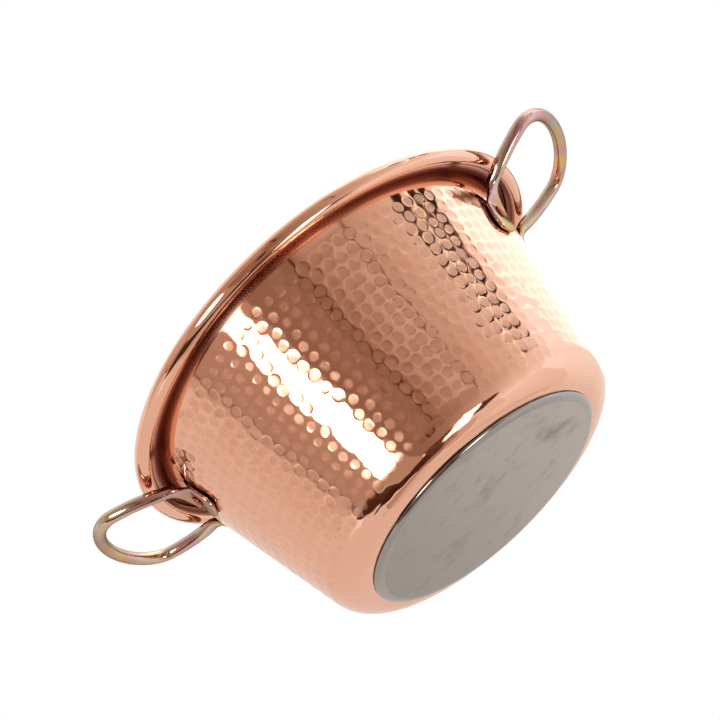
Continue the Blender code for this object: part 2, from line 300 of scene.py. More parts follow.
@dataclass(frozen=True)
class HammerMarks:
    """Rows of round dished marks that the hammer leaves round the wall.

    A mark is a flat spot with a steep edge. From the depth in its middle, the share
    called flatness is taken away with the square of the distance over the mark's radius,
    which cancels the wall's own curve, and the rest with the sixth power. Each mark is
    tipped a little. Its face is satin, and the web between the marks stays polished.
    Lighter blows at the foot and on one side leave shallower marks there.
    """

    top_height: float = 111.0 * MM
    row_pitch: float = 6.9 * MM
    rows: int = 15
    across: int = 95
    mark_radius: float = 3.0 * MM
    middle_depth: float = 0.10 * MM
    flatness: float = 0.42
    soft_depth: float = 0.02 * MM
    tip: float = math.radians(0.9)
    satin_reach: float = 0.90
    satin_fade: float = 0.14
    wander: float = 0.45 * MM
    upward_wander_share: float = 0.55
    size_spread: float = 0.05
    farthest_share: float = 1.6
    drift: float = 0.32
    side_share: float = 0.75
    foot_share: float = 0.5
    light_side: float = math.radians(-8)
    light_half: float = math.radians(34)
    side_fade: float = 0.1
    light_foot: float = 30.0 * MM
    foot_fade: float = 10.0 * MM
    seed: int = 11

    def strength(self, angle: np.ndarray, height: np.ndarray) -> np.ndarray:
        """Share of the full depth that the marks at some places have.

        Args:
            angle: the marks' angles about Z.
            height: their heights.

        Returns:
            One less the larger of the side's and the foot's eased reductions.
        """
        side = eased(np.cos(angle - self.light_side) - math.cos(self.light_half),
                     self.side_fade)
        foot = eased(self.light_foot - height, self.foot_fade)
        return 1 - np.maximum(self.side_share * side, self.foot_share * foot)

    def row_starts(self) -> np.ndarray:
        """Angle of one mark of each row: each row drifts from the one above.

        Returns:
            One angle a row, from the top down.
        """
        random = np.random.default_rng(self.seed)
        drift = np.cumsum(random.normal(0, self.drift, self.rows))
        return drift * math.tau / self.across

    def relief(self, angle: np.ndarray, height: np.ndarray,
               radius: np.ndarray) -> tuple[np.ndarray, np.ndarray]:
        """Depth of the relief: the deepest of the marks that reach a point.

        Args:
            angle: the points' angles about Z.
            height: their heights.
            radius: their distances from Z.

        Returns:
            Depths below the unhammered wall, and how satin the surface is.
        """
        random = np.random.default_rng(self.seed + 1)
        shape = (self.rows, self.across)
        shift_round = random.normal(0, self.wander, shape)
        shift_up = random.normal(0, self.wander * self.upward_wander_share, shape)
        size = self.mark_radius * (1 + random.normal(0, self.size_spread, shape))
        tip_round = random.normal(0, self.tip, shape)
        tip_up = random.normal(0, self.tip, shape)
        starts = self.row_starts()
        step = math.tau / self.across
        nearest_row = np.rint((self.top_height - height) / self.row_pitch).astype(int)
        depth = np.zeros_like(height)
        satin = np.zeros_like(height)
        for row_offset in (-1, 0, 1):
            row = nearest_row + row_offset
            inside = (row >= 0) & (row < self.rows)
            row = np.clip(row, 0, self.rows - 1)
            place = (angle - starts[row]) / step
            for mark_offset in (-1, 0, 1):
                count = np.rint(place).astype(int) + mark_offset
                mark = count % self.across
                along = (place - count) * step * radius - shift_round[row, mark]
                up = (height - self.top_height + row * self.row_pitch
                      - shift_up[row, mark])
                share = np.minimum((along**2 + up**2) / size[row, mark]**2,
                                   self.farthest_share)
                dish = (self.middle_depth * (1 - self.flatness * share
                                             - (1 - self.flatness) * share**3)
                        + np.where(share < 1, 1 - share**2, 0)
                        * (tip_round[row, mark] * along + tip_up[row, mark] * up))
                dish = dish * self.strength(starts[row] + count * step,
                                            self.top_height - row * self.row_pitch)
                # A soft edge: the smooth maximum of the dish and the plain wall
                eased_dish = (dish + np.sqrt(dish**2 + self.soft_depth**2)) / 2
                depth = np.maximum(depth, np.where(inside, eased_dish, 0))
                face = eased(self.satin_reach - np.sqrt(share), self.satin_fade)
                satin = np.maximum(satin, np.where(inside, face, 0))
        return depth, satin


@dataclass(frozen=True)
class Waviness:
    """Low broad waves that spinning and hammering leave in the sheet.

    Each wave is the cosine of a whole number times the angle, plus a number times the
    height, plus a phase. Their sum is divided by the square root of their number.
    """

    waves: int = 26
    amplitude: float = 0.036 * MM
    most_round: int = 62
    shortest: float = 10.5 * MM
    fade_length: float = 5.0 * MM
    seed: int = 5

    def heights(self, angle: np.ndarray, height: np.ndarray, top: float) -> np.ndarray:
        """Height of the waves at points of the wall.

        Args:
            angle: the points' angles about Z.
            height: their heights.
            top: the height at which the waves have faded out.

        Returns:
            How far the waves stand out at each point.
        """
        random = np.random.default_rng(self.seed)
        total = np.zeros_like(height)
        for _ in range(self.waves):
            count = int(random.integers(-self.most_round, self.most_round + 1))
            rate = random.uniform(-1, 1) * math.tau / self.shortest
            total = total + np.cos(count * angle + rate * height
                                   + random.uniform(0, math.tau))
        return (self.amplitude * total / math.sqrt(self.waves)
                * eased(top - height, self.fade_length))


@dataclass(frozen=True)
class CopperPot:
    """The pot's copper sheet: bottom, corner, tapered wall, channel and rolled rim."""

    height: float = 128.2 * MM
    rim_radius: float = 130.0 * MM
    sheet: float = 1.5 * MM
    taper: float = math.radians(12.6)
    bottom: float = 2.7 * MM
    corner_radius: float = 17.5 * MM
    channel_radius: float = 5.4 * MM
    channel_width: float = 5.7 * MM
    curl_inner: float = 3.05 * MM
    curl_sweep: float = math.radians(300)
    band_flare: float = 0.22 * MM
    rim_seam: float = 115.6 * MM
    wall_seams: tuple[float, ...] = (80.0 * MM, 45.4 * MM)
    wall_columns: int = 1200
    rim_columns: int = 780
    inside_columns: int = 720
    wall_spacing: float = 0.47 * MM
    foot_spacing: float = 0.62 * MM
    band_spacing: float = 0.6 * MM
    lip_spacing: float = 0.9 * MM
    inner_band_spacing: float = 1.2 * MM
    inside_spacing: float = 1.0 * MM
    corner_steps: int = 24
    inside_corner_steps: int = 22
    channel_steps: int = 14
    curl_steps: tuple[int, int] = (16, 54)
    backing_steps: tuple[int, int] = (5, 6)
    floor_shares: tuple[float, ...] = (0.8, 0.4, 0)
    inside_floor_shares: tuple[float, ...] = (0.92, 0.8, 0.6, 0.4, 0.2, 0)
    backing_depth: float = 0.75 * MM
    backing_gap: float = 0.05 * MM
    inside_share: float = 0.35
    marks: HammerMarks = HammerMarks()
    waviness: Waviness = Waviness()

    @property
    def curl_outer(self) -> float:
        """Outer radius of the curl's section."""
        return self.curl_inner + self.sheet

    @property
    def lip_underside(self) -> float:
        """Height of the sheet's lower side where it leaves the channel."""
        return self.height - self.sheet

    @property
    def wall_top(self) -> np.ndarray:
        """Where the outer side's straight wall ends, below the channel.

        Returns:
            Radius and height of the point.
        """
        radius = self.rim_radius - 2 * self.curl_outer - self.channel_width
        height = self.lip_underside - self.channel_radius * (1 - math.sin(self.taper))
        return np.array([radius, height])

    @property
    def bead_centre(self) -> tuple[float, float]:
        """Radius and height of the middle of the curl."""
        return self.rim_radius - self.curl_outer, self.height - self.curl_outer

    def wall_point(self, height: float, offset: float) -> np.ndarray:
        """Point of the straight wall, whose radius falls by the tangent of the taper.

        Args:
            height: the height on its outer side.
            offset: how far the point is set in, square to the wall.

        Returns:
            Radius and height of the point.
        """
        top = self.wall_top
        radius = top[0] - (top[1] - height) * math.tan(self.taper)
        return np.array([radius - offset * math.cos(self.taper),
                         height + offset * math.sin(self.taper)])

    def corner_arc(self, offset: float, steps: int) -> np.ndarray:
        """Arc of the bottom corner, from the wall down.

        Args:
            offset: how far it is set in from the outer side.
            steps: number of chords.

        Returns:
            Radius and height of each point.
        """
        height = self.bottom + self.corner_radius
        radius = self.wall_point(height, 0)[0] - self.corner_radius / math.cos(self.taper)
        turn = self.corner_radius - offset
        return arc((radius, height), (turn, turn), -self.taper, -math.pi / 2, steps)

    def channel_arc(self, offset: float) -> np.ndarray:
        """Arc of the channel, from the lip down to the wall.

        Args:
            offset: how far it is set in from the outer side.

        Returns:
            Radius and height of each point.
        """
        centre = (self.wall_top[0] + self.channel_radius * math.cos(self.taper),
                  self.lip_underside - self.channel_radius)
        turn = self.channel_radius + offset
        return arc(centre, (turn, turn), math.pi / 2, math.pi - self.taper,
                   self.channel_steps)

    def curl_arc(self, radius: float, steps: int) -> np.ndarray:
        """Arc of the curl from its crown out, under and back in."""
        return arc(self.bead_centre, (radius, radius), math.pi / 2,
                   math.pi / 2 - self.curl_sweep, steps)

    def flat_part(self, radius: float, height: float,
                  shares: tuple[float, ...]) -> np.ndarray:
        """Points of the flat bottom at shares of its radius, as radius and height."""
        return np.array([[radius * share, height] for share in shares])

    def flared(self, points: np.ndarray) -> np.ndarray:
        """Points of the smooth band and the channel, moved out by the band's flare.

        The shift grows with the square of the share of the way up the band, and fades
        again up the channel by a smooth step.

        Args:
            points: radius and height of each point.

        Returns:
            The moved points.
        """
        top = self.wall_top[1]
        share = np.clip((points[:, 1] - self.rim_seam) / (top - self.rim_seam), 0, 1)
        rest = 1 - eased(points[:, 1] - top, self.channel_radius)
        shift = self.band_flare * share**2 * rest
        return points + np.stack([shift, np.zeros(len(points))], axis=-1)

    def hammered_grid(self) -> tuple[np.ndarray, np.ndarray, np.ndarray]:
        """Outer side from the rim's seam to the middle of the bottom, with its marks.

        Each point of the turned section is moved in along the section's normal by the
        depth of the hammer marks there.

        Returns:
            The grid of points, how satin each is, and the unmarked height of each row.
        """
        wall = [self.wall_point(self.rim_seam, 0)[None]]
        for seam in self.wall_seams:
            end = self.wall_point(seam, 0)
            wall += [line(wall[-1][-1], end, self.wall_spacing), end[None]]
        corner = self.corner_arc(0, self.corner_steps)
        wall.append(line(wall[-1][-1], corner[0], self.foot_spacing))
        floor = self.flat_part(corner[-1][0], self.bottom, self.floor_shares)
        section = np.vstack(wall + [corner, floor])
        flat = len(section) - len(floor)
        straight = flat - len(corner)
        tilt = np.full(len(section), -self.taper)
        tilt[straight:flat] = np.linspace(-self.taper, -math.pi / 2, len(corner))
        tilt[flat:] = -math.pi / 2
        grid = turned_grid(section, self.wall_columns)
        angle = np.broadcast_to(round_angles(self.wall_columns), grid.shape[:2])
        radius = np.broadcast_to(section[:, :1], grid.shape[:2])
        height = np.broadcast_to(section[:, 1:], grid.shape[:2])
        depth, satin = self.marks.relief(angle, height, radius)
        depth = depth + self.waviness.heights(angle, height, self.rim_seam)
        depth[flat:] = 0
        normal = np.stack([np.cos(tilt)[:, None] * np.cos(angle),
                           np.cos(tilt)[:, None] * np.sin(angle),
                           np.broadcast_to(np.sin(tilt)[:, None], angle.shape)], axis=-1)
        return grid - normal * depth[..., None], satin, section[:, 1]

    def wall_backing(self, top: float, low: float | None) -> np.ndarray:
        """Section of the plain side that closes a ring of the wall from behind.

        Args:
            top: height of the ring's upper edge.
            low: height of its lower edge, or None where it goes on to the bottom.

        Returns:
            Radius and height of each point, from the top down.
        """
        start = self.wall_point(top, self.backing_depth)
        if low is not None:
            return np.stack([start, self.wall_point(low, self.backing_depth)])
        corner = self.corner_arc(self.backing_depth, self.backing_steps[0])
        return np.vstack([start[None], corner, [[0, self.bottom + self.backing_depth]]])

    def build_wall(self, material: bpy.types.Material) -> None:
        """Build the hammered outer side as three closed rings, one below the other.

        Args:
            material: the copper's finish.
        """
        grid, satin, heights = self.hammered_grid()
        seams = [int(np.argmin(np.abs(heights - seam))) for seam in self.wall_seams]
        bounds = [0] + seams + [len(grid) - 1]
        names = ("pot_wall_upper", "pot_wall_middle", "pot_wall_foot")
        for name, first, last in zip(names, bounds, bounds[1:]):
            closed = last != len(grid) - 1
            backing = self.wall_backing(heights[first], heights[last] if closed else None)
            back = turned_grid(backing, self.wall_columns)
            ring = np.concatenate([grid[first:last + 1][::-1], back])
            faces = np.concatenate([satin[first:last + 1][::-1], np.zeros(back.shape[:2])])
            self.add(skin_mesh(name, ring, closed, faces), material)

    def build_rim(self, material: bpy.types.Material) -> None:
        """Build the smooth band, the channel and the curl as one closed ring.

        Args:
            material: the copper's finish.
        """
        outer_foot = self.wall_point(self.rim_seam, 0)
        inner_foot = self.wall_point(self.rim_seam, self.sheet)
        crown = np.array([self.bead_centre[0], self.height])
        under = self.channel_arc(0)[::-1]
        above = self.channel_arc(self.sheet)
        section = self.flared(np.vstack([
            outer_foot[None], line(outer_foot, under[0], self.band_spacing), under,
            self.curl_arc(self.curl_inner, self.curl_steps[0]),
            self.curl_arc(self.curl_outer, self.curl_steps[1])[::-1],
            line(crown, above[0], self.lip_spacing), above,
            line(above[-1], inner_foot, self.inner_band_spacing), inner_foot[None]]))
        self.add(skin_mesh("pot_rim", turned_grid(section, self.rim_columns), True), material)

    def build_inside(self, material: bpy.types.Material) -> None:
        """Build the inner side from the rim's seam down, with the marks faintly raised.

        Args:
            material: the copper's finish.
        """
        top = self.wall_point(self.rim_seam, self.sheet)
        corner = self.corner_arc(self.sheet, self.inside_corner_steps)
        floor = self.flat_part(corner[-1][0], self.bottom + self.sheet,
                               self.inside_floor_shares)
        inner = np.vstack([top[None], line(top, corner[0], self.inside_spacing), corner,
                           floor])
        deep = self.backing_depth + self.backing_gap
        back = np.vstack([self.wall_point(self.rim_seam, deep)[None],
                          self.corner_arc(deep, self.backing_steps[1]),
                          [[0, self.bottom + deep]]])[::-1]
        grid = turned_grid(np.vstack([back, inner]), self.inside_columns)
        rows = slice(len(back), len(back) + len(inner) - len(floor))
        angle = np.arctan2(grid[rows, :, 1], grid[rows, :, 0])
        height = grid[rows, :, 2]
        radius = np.hypot(grid[rows, :, 0], grid[rows, :, 1])
        raised = self.marks.relief(angle, height, radius)[0] * self.inside_share
        grid[rows, :, 0] -= raised * np.cos(angle)
        grid[rows, :, 1] -= raised * np.sin(angle)
        self.add(skin_mesh("pot_inside", grid), material)

    def add(self, mesh: bpy.types.Mesh, material: bpy.types.Material) -> None:
        """Add a mesh as a piece of the copper sheet, under its own name."""
        add_piece(mesh.name, mesh, material, "polished_copper", "pot_body")

    def build(self, material: bpy.types.Material) -> None:
        """Build the wall, the rim and the inside.

        Args:
            material: the copper's finish.
        """
        self.build_wall(material)
        self.build_rim(material)
        self.build_inside(material)


@dataclass(frozen=True)
class InductionBase:
    """The pressed steel cap under the pot, with its rounded shoulder."""

    radius: float = 72.7 * MM
    height: float = 2.4 * MM
    sheet: float = 0.7 * MM
    shoulder_width: float = 4.7 * MM
    face_shares: tuple[float, ...] = (0.9, 0.6, 0.3, 0)
    inner_steps: int = 16
    outer_steps: int = 32
    columns: int = 480

    def build(self, material: bpy.types.Material) -> None:
        """Build the cap: inner face, inner shoulder, edge, outer shoulder and face.

        Args:
            material: the steel's finish.
        """
        face = self.radius - self.shoulder_width
        centre = (face, self.height)
        inner = arc(centre, (self.shoulder_width - self.sheet, self.height - self.sheet),
                    -math.pi / 2, 0, self.inner_steps)
        outer = arc(centre, (self.shoulder_width, self.height), 0, -math.pi / 2,
                    self.outer_steps)
        flat = face * np.array(self.face_shares)
        lower = np.stack([flat, np.zeros_like(flat)], axis=-1)
        upper = np.stack([flat[::-1], np.full_like(flat, self.sheet)], axis=-1)
        section = np.vstack([upper, inner, outer, lower])[::-1]
        mesh = skin_mesh("base_cap_steel", turned_grid(section, self.columns))
        add_piece("base_cap_steel", mesh, material, "brushed_steel", "base_cap")


# Handles and rivets


@dataclass(frozen=True)
class LoopHandle:
    """A round rod bent to a loop, its ends turned down and flattened on the wall."""

    side: Side
    pot: CopperPot
    gap: float = 0.3 * MM
    rod_radius: float = 3.55 * MM
    bend_height: float = 111.6 * MM
    bend_radius: float = 9.5 * MM
    leg_half_spacing: float = 31.8 * MM
    loop_half_width: float = 41.1 * MM
    leg_length: float = 33.3 * MM
    loop_reach: float = 52.8 * MM
    loop_tilt: float = math.radians(16)
    tab_half_thickness: float = 1.15 * MM
    tab_half_width: float = 9.0 * MM
    tab_length: float = 27.0 * MM
    tab_splay: float = math.radians(9)
    tab_corner: float = 7.2 * MM
    narrowing_start: float = 14.0 * MM
    narrowing_length: float = 12.0 * MM
    swelling_length: float = 25.0 * MM
    least_end_share: float = 0.02
    ellipse_share: float = 0.5523
    leg_share: float = 0.4
    tab_rows: int = 16
    bend_steps: int = 20
    leg_steps: int = 26
    loop_steps: int = 48
    rod_sides: int = 40

    @property
    def stand_off(self) -> float:
        """Distance of the rod's centre line from the wall."""
        return self.gap + self.rod_radius

    @property
    def reach(self) -> float:
        """Distance from the pot's axis to the corner of the centre line."""
        wall = self.pot.wall_point(self.bend_height, 0)[0]
        return wall + self.stand_off / math.cos(self.pot.taper)

    @property
    def tab_axes(self) -> tuple[np.ndarray, np.ndarray, np.ndarray]:
        """The tab's own directions: the wall's, turned about its normal by the splay.

        Returns:
            Directions up the tab, across it and out from the wall.
        """
        bearing = math.asin(self.leg_half_spacing / self.reach)
        up = np.array([0.0, 0.0, 1.0])
        taper = self.pot.taper
        out = turned(np.array([math.cos(taper), 0, -math.sin(taper)]), up, bearing)
        rise = turned(np.array([math.sin(taper), 0, math.cos(taper)]), up, bearing)
        across = turned(np.array([0.0, 1.0, 0.0]), up, bearing)
        return turned(rise, out, self.tab_splay), turned(across, out, self.tab_splay), out

    @property
    def corner(self) -> np.ndarray:
        """Where the centre lines of tab and leg meet."""
        return np.array([math.sqrt(self.reach**2 - self.leg_half_spacing**2),
                         self.leg_half_spacing, self.bend_height])

    @property
    def seat(self) -> np.ndarray:
        """Point of the wall's outer side behind the corner."""
        return self.corner - self.tab_axes[2] * self.stand_off

    def in_loop(self, sideways: float, distance: float) -> np.ndarray:
        """Point of the loop's tilted plane.

        Args:
            sideways: its distance from the loop's middle line.
            distance: its distance out from the corner's line, in the plane.

        Returns:
            The point.
        """
        corner = self.corner
        return (np.array([corner[0], sideways, corner[2]]) + distance
                * np.array([math.cos(self.loop_tilt), 0, math.sin(self.loop_tilt)]))

    def half_sizes(self, along: np.ndarray) -> tuple[np.ndarray, np.ndarray, np.ndarray]:
        """Half width, half thickness and set-back of the rod.

        The tab's end is rounded in plan by a circle and in thickness by an ellipse. It
        narrows and swells to the round rod by smooth steps.

        Args:
            along: distances from the tab's end along the centre line.

        Returns:
            The three sizes at each distance.
        """
        beyond = along - self.narrowing_start
        narrowed = eased(beyond, self.narrowing_length)
        swollen = eased(beyond, self.swelling_length)
        wide = self.tab_half_width + (self.rod_radius - self.tab_half_width) * narrowed
        thick = (self.tab_half_thickness
                 + (self.rod_radius - self.tab_half_thickness) * swollen)
        short = np.clip(self.tab_corner - along, 0, self.tab_corner)
        wide = wide - self.tab_corner + np.sqrt(self.tab_corner**2 - short**2)
        blunt = np.clip(1 - along / self.tab_half_thickness, 0, 1)
        thick = thick * np.sqrt(np.maximum(1 - blunt**2, self.least_end_share))
        back = (self.rod_radius - self.tab_half_thickness) * (1 - narrowed)
        return np.maximum(wide, thick), thick, back

    def leg_aim(self) -> np.ndarray:
        """Point that the leg heads for, short of the loop's widest place."""
        return self.in_loop(self.loop_half_width, self.leg_length * (1 - self.leg_share))

    def tab_and_bend(self) -> tuple[np.ndarray, np.ndarray, np.ndarray]:
        """Centre line of the straight tab and of the bend between it and the leg.

        The bend is an arc about a pivot on its inner side, which touches both lines.

        Returns:
            The points, and the directions across and out at each.
        """
        rise, across, out = self.tab_axes
        corner = self.corner
        leaving = unit(self.leg_aim() - corner)
        axis = unit(np.cross(rise, leaving))
        bend = math.acos(float(np.dot(rise, leaving)))
        setback = self.bend_radius * math.tan(bend / 2)
        quarter = np.linspace(0, math.pi / 2, self.tab_rows)
        round_end = self.tab_corner * (1 - np.cos(quarter))
        stations = np.concatenate([round_end,
                                   np.linspace(self.tab_corner, self.tab_length - setback,
                                               self.tab_rows)[1:]])
        tab = corner + rise * (stations - self.tab_length)[:, None]
        inward = np.cross(axis, rise)
        pivot = corner - rise * setback + inward * self.bend_radius
        angles = np.linspace(0, bend, self.bend_steps + 1)[1:]
        bent = pivot - turned(inward * self.bend_radius, axis, angles)
        flat = np.ones((len(tab), 1))
        return (np.vstack([tab, bent]),
                np.vstack([flat * across, turned(across, axis, angles)]),
                np.vstack([flat * out, turned(out, axis, angles)]))

    def leg_and_loop(self, start: np.ndarray) -> np.ndarray:
        """Centre line from the end of the bend to the apex: two Bezier curves.

        Args:
            start: the last point of the bend.

        Returns:
            The points after it.
        """
        aim = self.leg_aim()
        widest = self.in_loop(self.loop_half_width, self.leg_length)
        depth = (self.loop_reach - self.leg_length) * self.ellipse_share
        leg = bezier([start, start + (aim - start) * self.leg_share, aim, widest],
                     self.leg_steps)[1:]
        loop = bezier([widest,
                       self.in_loop(self.loop_half_width, self.leg_length + depth),
                       self.in_loop(self.loop_half_width * self.ellipse_share,
                                    self.loop_reach),
                       self.in_loop(0, self.loop_reach)], self.loop_steps)[1:]
        return np.vstack([leg, loop])

    def half_path(self) -> tuple[np.ndarray, np.ndarray, np.ndarray, np.ndarray]:
        """Centre line from the tab's end on +Y to the apex.

        Returns:
            The points, the directions across and out at each, and the distances along.
        """
        bent, acrosses, outs = self.tab_and_bend()
        points = np.vstack([bent, self.leg_and_loop(bent[-1])])
        acrosses, outs = list(acrosses), list(outs)
        # Along the loop each frame is turned as little as the line allows
        for index in range(len(bent), len(points)):
            if index == len(points) - 1:
                tangent = np.array([0.0, -1.0, 0.0])
            else:
                tangent = unit(points[index + 1] - points[index - 1])
            across = unit(acrosses[-1] - tangent * np.dot(acrosses[-1], tangent))
            acrosses.append(across)
            outs.append(np.cross(across, tangent))
        steps = np.linalg.norm(np.diff(points, axis=0), axis=1)
        distances = np.concatenate([[0], np.cumsum(steps)])
        return points, np.array(acrosses), np.array(outs), distances

    def grid(self) -> np.ndarray:
        """Rings round the centre line: two half circles set apart to the half width.

        Returns:
            Points of the whole handle as rows, columns and coordinates.
        """
        points, across, out, along = self.half_path()
        wide, thick, back = self.half_sizes(along)
        angle = math.tau * (np.arange(self.rod_sides) + 0.5) / self.rod_sides
        apart = np.sign(np.cos(angle))[None, :] * (wide - thick)[:, None]
        sideways = apart + thick[:, None] * np.cos(angle)[None, :]
        outward = thick[:, None] * np.sin(angle)[None, :] - back[:, None]
        half = (points[:, None] + across[:, None] * sideways[..., None]
                + out[:, None] * outward[..., None])
        tip = np.broadcast_to(half[0].mean(axis=0), (1, self.rod_sides, 3))
        half = np.concatenate([tip, half])
        other = half[::-1][1:] * np.array([1.0, -1.0, 1.0])
        return self.to_side(np.concatenate([half, other]))

    def to_side(self, points: np.ndarray) -> np.ndarray:
        """Turn points made for +X to the handle's side: half a turn about Z on the left.

        Args:
            points: the points as made.

        Returns:
            The points in place.
        """
        return points * np.array([self.side.value, self.side.value, 1])

    def build(self, material: bpy.types.Material) -> None:
        """Build the rod with its two flattened ends.

        Args:
            material: the plated steel's finish.
        """
        side = self.side.name.lower()
        name = f"handle_{side}_rod"
        mesh = skin_mesh(name, self.grid())
        facing_out(mesh)
        add_piece(name, mesh, material, f"zinc_plated_steel_{side}", f"handle_{side}")


@dataclass(frozen=True)
class Rivet:
    """A copper rivet: a domed head inside the pot and a low upset end on the tab."""

    handle: LoopHandle
    end: End
    shank_radius: float = 2.3 * MM
    from_bend: float = 15.0 * MM
    head_radius: float = 4.75 * MM
    head_height: float = 2.2 * MM
    end_radius: float = 3.5 * MM
    end_height: float = 1.6 * MM
    dome_steps: int = 14
    columns: int = 48

    @property
    def label(self) -> str:
        """The rivet's side and end, as in the node's name."""
        return f"{self.handle.side.name.lower()}_{self.end.name.lower()}"

    def section(self) -> np.ndarray:
        """Radius and distance out from the wall, from the head's top to the end's.

        The head's seat lies deeper by the hollow of the round wall under it, which is
        the head's radius squared over twice the wall's.

        Returns:
            The section's points.
        """
        pot = self.handle.pot
        inner = pot.wall_point(self.handle.bend_height, 0)[0] - pot.sheet
        hollow = self.head_radius**2 / (2 * inner)
        head_seat = -(pot.sheet + self.handle.gap + hollow)
        end_seat = 2 * (self.handle.gap + self.handle.tab_half_thickness)
        head = arc((0, head_seat), (self.head_radius, self.head_height),
                   -math.pi / 2, 0, self.dome_steps)
        upset = arc((0, end_seat), (self.end_radius, self.end_height), 0, math.pi / 2,
                    self.dome_steps)
        upset[-1, 0] = head[0, 0] = 0
        shank = np.array([[self.shank_radius, head_seat], [self.shank_radius, end_seat]])
        return np.vstack([head, shank, upset])

    def build(self, material: bpy.types.Material) -> None:
        """Build the rivet along the wall's normal in the middle of its tab.

        Args:
            material: the rivet's finish.
        """
        handle = self.handle
        rise, across, out = handle.tab_axes
        local = turned_grid(self.section(), self.columns)
        centre = handle.seat - rise * self.from_bend
        points = (centre + local[..., :1] * np.cross(across, out)
                  + local[..., 1:2] * across + local[..., 2:] * out)
        # Half a turn to the left side changes the sign of Y too
        points = points * np.array([1, self.end.value * handle.side.value, 1])
        mesh = skin_mesh(f"rivet_{self.label}_copper", handle.to_side(points))
        facing_out(mesh)
        add_piece(mesh.name, mesh, material, f"rivet_copper_{self.label}",
                  f"rivet_{self.label}")


# Node trees


class Graph:
    """A node tree with short ways to add and join nodes."""

    def __init__(self, tree: bpy.types.NodeTree) -> None:
        """Take the tree to work in."""
        self.tree = tree

    def add(self, kind: str, inputs: dict | None = None,
            **settings: object) -> bpy.types.Node:
        """Add a node.

        Args:
            kind: the node's type name, without its ShaderNode start.
            inputs: a value or another node's output for each named or numbered input.
            settings: attributes of the node.

        Returns:
            The new node.
        """
        node = self.tree.nodes.new("ShaderNode" + kind)
        for key, value in settings.items():
            setattr(node, key, value)
        for key, value in (inputs or {}).items():
            self.give(node.inputs[key], value)
        return node

    def give(self, socket: Socket, value: object) -> None:
        """Join an output to a socket, or set its plain value.

        Args:
            socket: the input.
            value: an output of a node, or the value.
        """
        if isinstance(value, Socket):
            self.tree.links.new(value, socket)
        else:
            socket.default_value = value

    def noise(self, vector: Socket, scale: object, detail: float = 3.0,
              roughness: float = 0.55) -> Socket:
        """Value of a noise texture."""
        node = self.add("TexNoise", {"Vector": vector, "Scale": scale, "Detail": detail,
                                     "Roughness": roughness})
        return node.outputs["Fac"]

    def math(self, operation: str, first: object, second: object = 0.0) -> Socket:
        """Result of a maths node."""
        return self.add("Math", {0: first, 1: second}, operation=operation).outputs[0]

    def ramp(self, value: Socket, low: object, high: object, to_low: float = 0.0,
             to_high: float = 1.0) -> Socket:
        """Map a value smoothly from one range to another and hold it at the ends."""
        node = self.add("MapRange", {"Value": value, "From Min": low, "From Max": high,
                                     "To Min": to_low, "To Max": to_high},
                        interpolation_type="SMOOTHSTEP")
        return node.outputs["Result"]

    def mix(self, share: object, first: object, second: object) -> Socket:
        """Mix of two colours by a share.

        Args:
            share: the second colour's share.
            first: the first colour, as three numbers or an output.
            second: the second colour.

        Returns:
            The mixed colour.
        """
        first, second = (colour if isinstance(colour, Socket) else (*colour, 1.0)
                         for colour in (first, second))
        # The node's inputs 6 and 7 and its output 2 are the ones for colours
        return self.add("Mix", {0: share, 6: first, 7: second},
                        data_type="RGBA").outputs[2]


class EffectGroup(Graph):
    """A node group in the making: a vector and named values go in, one value comes out."""

    def __init__(self, name: str, values: dict[str, float], result: str) -> None:
        """Start the group with its sockets.

        Args:
            name: the group's name.
            values: name and plain value of each value input.
            result: name of the output.
        """
        super().__init__(bpy.data.node_groups.new(name, "ShaderNodeTree"))
        sockets = self.tree.interface
        sockets.new_socket("Vector", in_out="INPUT", socket_type="NodeSocketVector")
        for key, value in values.items():
            socket = sockets.new_socket(key, in_out="INPUT", socket_type="NodeSocketFloat")
            socket.default_value = value
        sockets.new_socket(result, in_out="OUTPUT", socket_type="NodeSocketFloat")
        self.entry = self.tree.nodes.new("NodeGroupInput").outputs
        self.leave = self.tree.nodes.new("NodeGroupOutput").inputs

    def put_out(self, value: Socket) -> bpy.types.NodeTree:
        """Join the result to the output and give back the finished group."""
        self.give(self.leave[0], value)
        return self.tree


@dataclass(frozen=True)
class Hairlines:
    """Fine polishing hairlines: noise drawn out along one direction at several turns."""

    turns: tuple[float, ...] = (0.5, 1.7, 2.6)
    tilt_shares: tuple[float, float, float] = (0.4, 0.7, 1.0)
    levels: tuple[float, float] = (0.56, 0.72)

    def group(self) -> bpy.types.NodeTree:
        """Build the group, whose height is the sum of the lines at each turn.

        Returns:
            The finished group.
        """
        group = EffectGroup("hairlines", {"Fineness": 900.0, "Stretch": 0.04}, "Height")
        drawn = group.add("CombineXYZ", {0: 1.0, 1: group.entry["Stretch"], 2: 1.0})
        total = None
        for turn in self.turns:
            tilt = [share * turn for share in self.tilt_shares]
            placed = group.add("Mapping", {"Vector": group.entry["Vector"],
                                           "Rotation": tilt, "Scale": drawn.outputs[0]})
            noise = group.noise(placed.outputs[0], group.entry["Fineness"], detail=2.0)
            lines = group.ramp(noise, *self.levels)
            total = lines if total is None else group.math("ADD", total, lines)
        return group.put_out(total)


@dataclass(frozen=True)
class Stains:
    """Soft uneven stains: coarse noise broken up by a finer one."""

    detail: float = 5.0
    roughness: float = 0.6

    def group(self) -> bpy.types.NodeTree:
        """Build the group, whose mask sets in between two levels of the noise.

        Returns:
            The finished group.
        """
        group = EffectGroup("stains", {"Fineness": 30.0, "Start": 0.45, "End": 0.75},
                            "Mask")
        noise = group.noise(group.entry["Vector"], group.entry["Fineness"], self.detail,
                            self.roughness)
        return group.put_out(group.ramp(noise, group.entry["Start"], group.entry["End"]))


